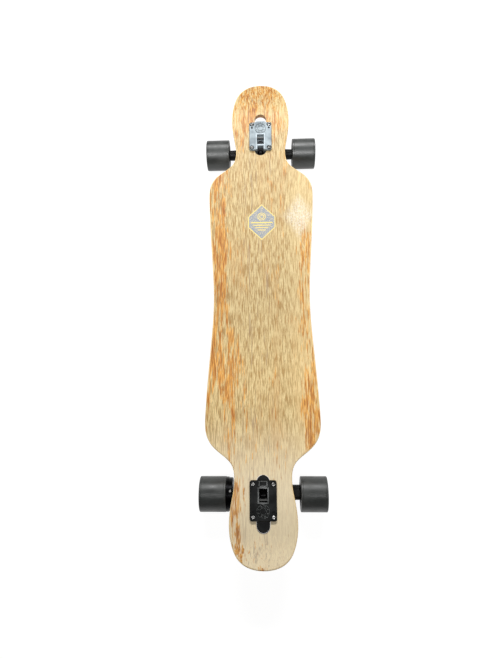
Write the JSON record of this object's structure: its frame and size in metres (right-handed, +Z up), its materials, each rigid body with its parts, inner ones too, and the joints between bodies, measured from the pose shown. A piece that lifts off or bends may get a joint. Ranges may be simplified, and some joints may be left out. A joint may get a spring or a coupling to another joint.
{
  "type": "electric skateboard",
  "caption": "Drop-through longboard with reverse-kingpin trucks, urethane wheels, an in-wheel hub motor and an underslung battery and controller enclosure.",
  "frame": {"origin": "on the ground under the middle of the board, at the centre of the bounding box's bottom", "axes": "+X to the rider's right when facing the nose, +Y towards the nose, +Z up"},
  "size_m": [0.2706, 1.105, 0.1116],
  "materials": {
    "maple": "clear coat over bare veneer",
    "grey_casting": "satin cast",
    "black_casting": "black satin coat",
    "bright_steel": "zinc plated",
    "dark_steel": "oiled",
    "bearing_steel": "ground",
    "bushing_urethane": "soft urethane",
    "wheel_urethane": "dusty matte urethane",
    "core_plastic": "moulded",
    "black_aluminium": "black anodised",
    "magnet": "nickel plated",
    "lamination": "stacked laminations",
    "copper": "enamelled copper wire",
    "shell_plastic": "fine moulded texture",
    "gasket_foam": "closed-cell foam",
    "cell_sleeve": "shrink sleeve over a steel can",
    "holder_plastic": "moulded",
    "nickel": "nickel strip",
    "circuit_board": "solder mask",
    "heatsink": "extruded",
    "lead_insulation": "silicone",
    "button_metal": "brushed",
    "port_plastic": "moulded",
    "cap_rubber": "soft"
  },
  "bodies": {
    "deck": {"deck": "maple", "front_baseplate": "grey_casting", "rear_baseplate": "black_casting", "truck_bolts": "bright_steel", "truck_nuts": "bright_steel", "kingpins": "dark_steel", "kingpin_nuts": "bright_steel", "bushing_washers": "bright_steel", "front_bushings": "bushing_urethane", "rear_bushings": "bushing_urethane", "pivot_cups": "bushing_urethane", "enclosure_shell": "shell_plastic", "enclosure_gasket": "gasket_foam", "enclosure_screws": "bright_steel", "battery_cells": "cell_sleeve", "cell_holders": "holder_plastic", "cell_links": "nickel", "bms_board": "circuit_board", "controller_heatsink": "heatsink", "motor_controller": "circuit_board", "power_leads": "lead_insulation", "switch_housing": "port_plastic", "button_spring": "bright_steel", "charge_socket": "port_plastic", "cap_pin": "bright_steel", "cable_gland": "port_plastic"},
    "power_button": {"power_button": "button_metal"},
    "charge_cap": {"charge_cap": "cap_rubber"},
    "front_hanger": {"front_hanger": "black_casting", "front_axle": "dark_steel", "front_axle_nuts": "bright_steel", "front_speed_washers": "bright_steel", "front_bearing_spacers": "heatsink", "front_inner_rings": "bearing_steel"},
    "rear_hanger": {"rear_hanger": "black_casting", "rear_axle": "dark_steel", "rear_axle_nuts": "bright_steel", "rear_speed_washers": "bright_steel", "rear_bearing_spacers": "heatsink", "rear_inner_rings": "bearing_steel", "motor_set_screws": "dark_steel", "motor_shaft": "dark_steel", "stator_core": "lamination", "stator_windings": "copper", "motor_inner_rings": "bearing_steel"},
    "motor_rotor": {"motor_tyre": "wheel_urethane", "rotor_can": "black_aluminium", "rotor_magnets": "magnet", "motor_cover": "black_aluminium", "cover_screws": "bright_steel", "motor_bearings": "bearing_steel"},
    "front_left_wheel": {"front_left_tyre": "wheel_urethane", "front_left_core": "core_plastic", "front_left_bearings": "bearing_steel"},
    "front_right_wheel": {"front_right_tyre": "wheel_urethane", "front_right_core": "core_plastic", "front_right_bearings": "bearing_steel"},
    "rear_right_wheel": {"rear_right_tyre": "wheel_urethane", "rear_right_core": "core_plastic", "rear_right_bearings": "bearing_steel"}
  },
  "joints": [
    {"name": "front_steer", "type": "hinge", "parent": "deck", "child": "front_hanger", "pos_m": [0, 0.4275, 0.0672], "axis": [0, 0.6691, 0.7431], "range_deg": [-18, 18], "stiffness_Nm_per_rad": 80, "deforming": ["front_bushings"]},
    {"name": "rear_steer", "type": "hinge", "parent": "deck", "child": "rear_hanger", "pos_m": [0, -0.4345, 0.0672], "axis": [0, -0.6691, 0.7431], "range_deg": [-18, 18], "stiffness_Nm_per_rad": 80, "deforming": ["rear_bushings"]},
    {"name": "front_left_spin", "type": "hinge", "parent": "front_hanger", "child": "front_left_wheel", "pos_m": [-0.107, 0.4075, 0.0368], "axis": [1, 0, 0], "continuous": true},
    {"name": "front_right_spin", "type": "hinge", "parent": "front_hanger", "child": "front_right_wheel", "pos_m": [0.107, 0.4075, 0.0368], "axis": [1, 0, 0], "continuous": true},
    {"name": "rear_right_spin", "type": "hinge", "parent": "rear_hanger", "child": "rear_right_wheel", "pos_m": [0.107, -0.4145, 0.0368], "axis": [1, 0, 0], "continuous": true},
    {"name": "motor_spin", "type": "hinge", "parent": "rear_hanger", "child": "motor_rotor", "pos_m": [-0.107, -0.4145, 0.0368], "axis": [1, 0, 0], "continuous": true},
    {"name": "power_button_press", "type": "slide", "parent": "deck", "child": "power_button", "axis": [-1, 0, 0], "range_m": [0, 0.0012], "stiffness_N_per_m": 1500, "springref_m": -0.0004, "deforming": ["button_spring"]},
    {"name": "charge_cap_hinge", "type": "hinge", "parent": "deck", "child": "charge_cap", "pos_m": [0.0755, -0.185, 0.079], "axis": [0, -1, 0], "range_deg": [0, 85]}
  ]
}
